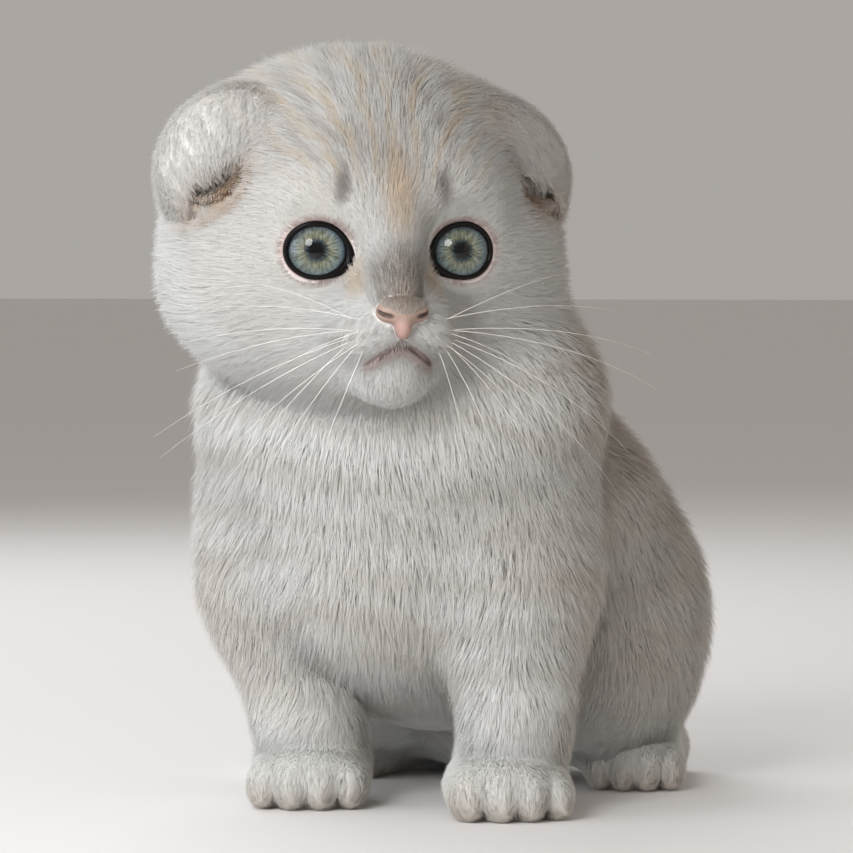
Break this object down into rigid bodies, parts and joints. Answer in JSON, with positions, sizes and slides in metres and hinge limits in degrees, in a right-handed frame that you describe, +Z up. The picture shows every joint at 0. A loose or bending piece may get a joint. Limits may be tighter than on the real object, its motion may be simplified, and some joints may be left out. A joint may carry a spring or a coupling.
{
  "type": "kitten",
  "caption": "Life-size fold-eared kitten sitting upright, round head turned to its left, small ears folded forward and down, short plush pale coat, tail laid along its right side",
  "frame": {"origin": "middle of the bounding box's underside, on the floor between the four feet", "axes": "+Z up, -Y the way the body faces, +X the kitten's own left; the head is turned towards +X"},
  "size_m": [0.1052, 0.1402, 0.1576],
  "materials": {
    "coat": "short plush fur",
    "nose_leather": "fine-grained, slightly moist",
    "eye": "clear and wet"
  },
  "bodies": {
    "root": {"head": "coat", "nose": "nose_leather", "eye_left": "eye", "ear_left": "coat", "eye_right": "eye", "ear_right": "coat", "tail": "coat", "forepaw_left": "coat", "forepaw_right": "coat", "hind_foot_left": "coat", "hind_foot_right": "coat", "foreleg_left": "coat", "foreleg_right": "coat", "thigh_left": "coat", "thigh_right": "coat", "neck": "coat", "torso": "coat"}
  },
  "joints": []
}
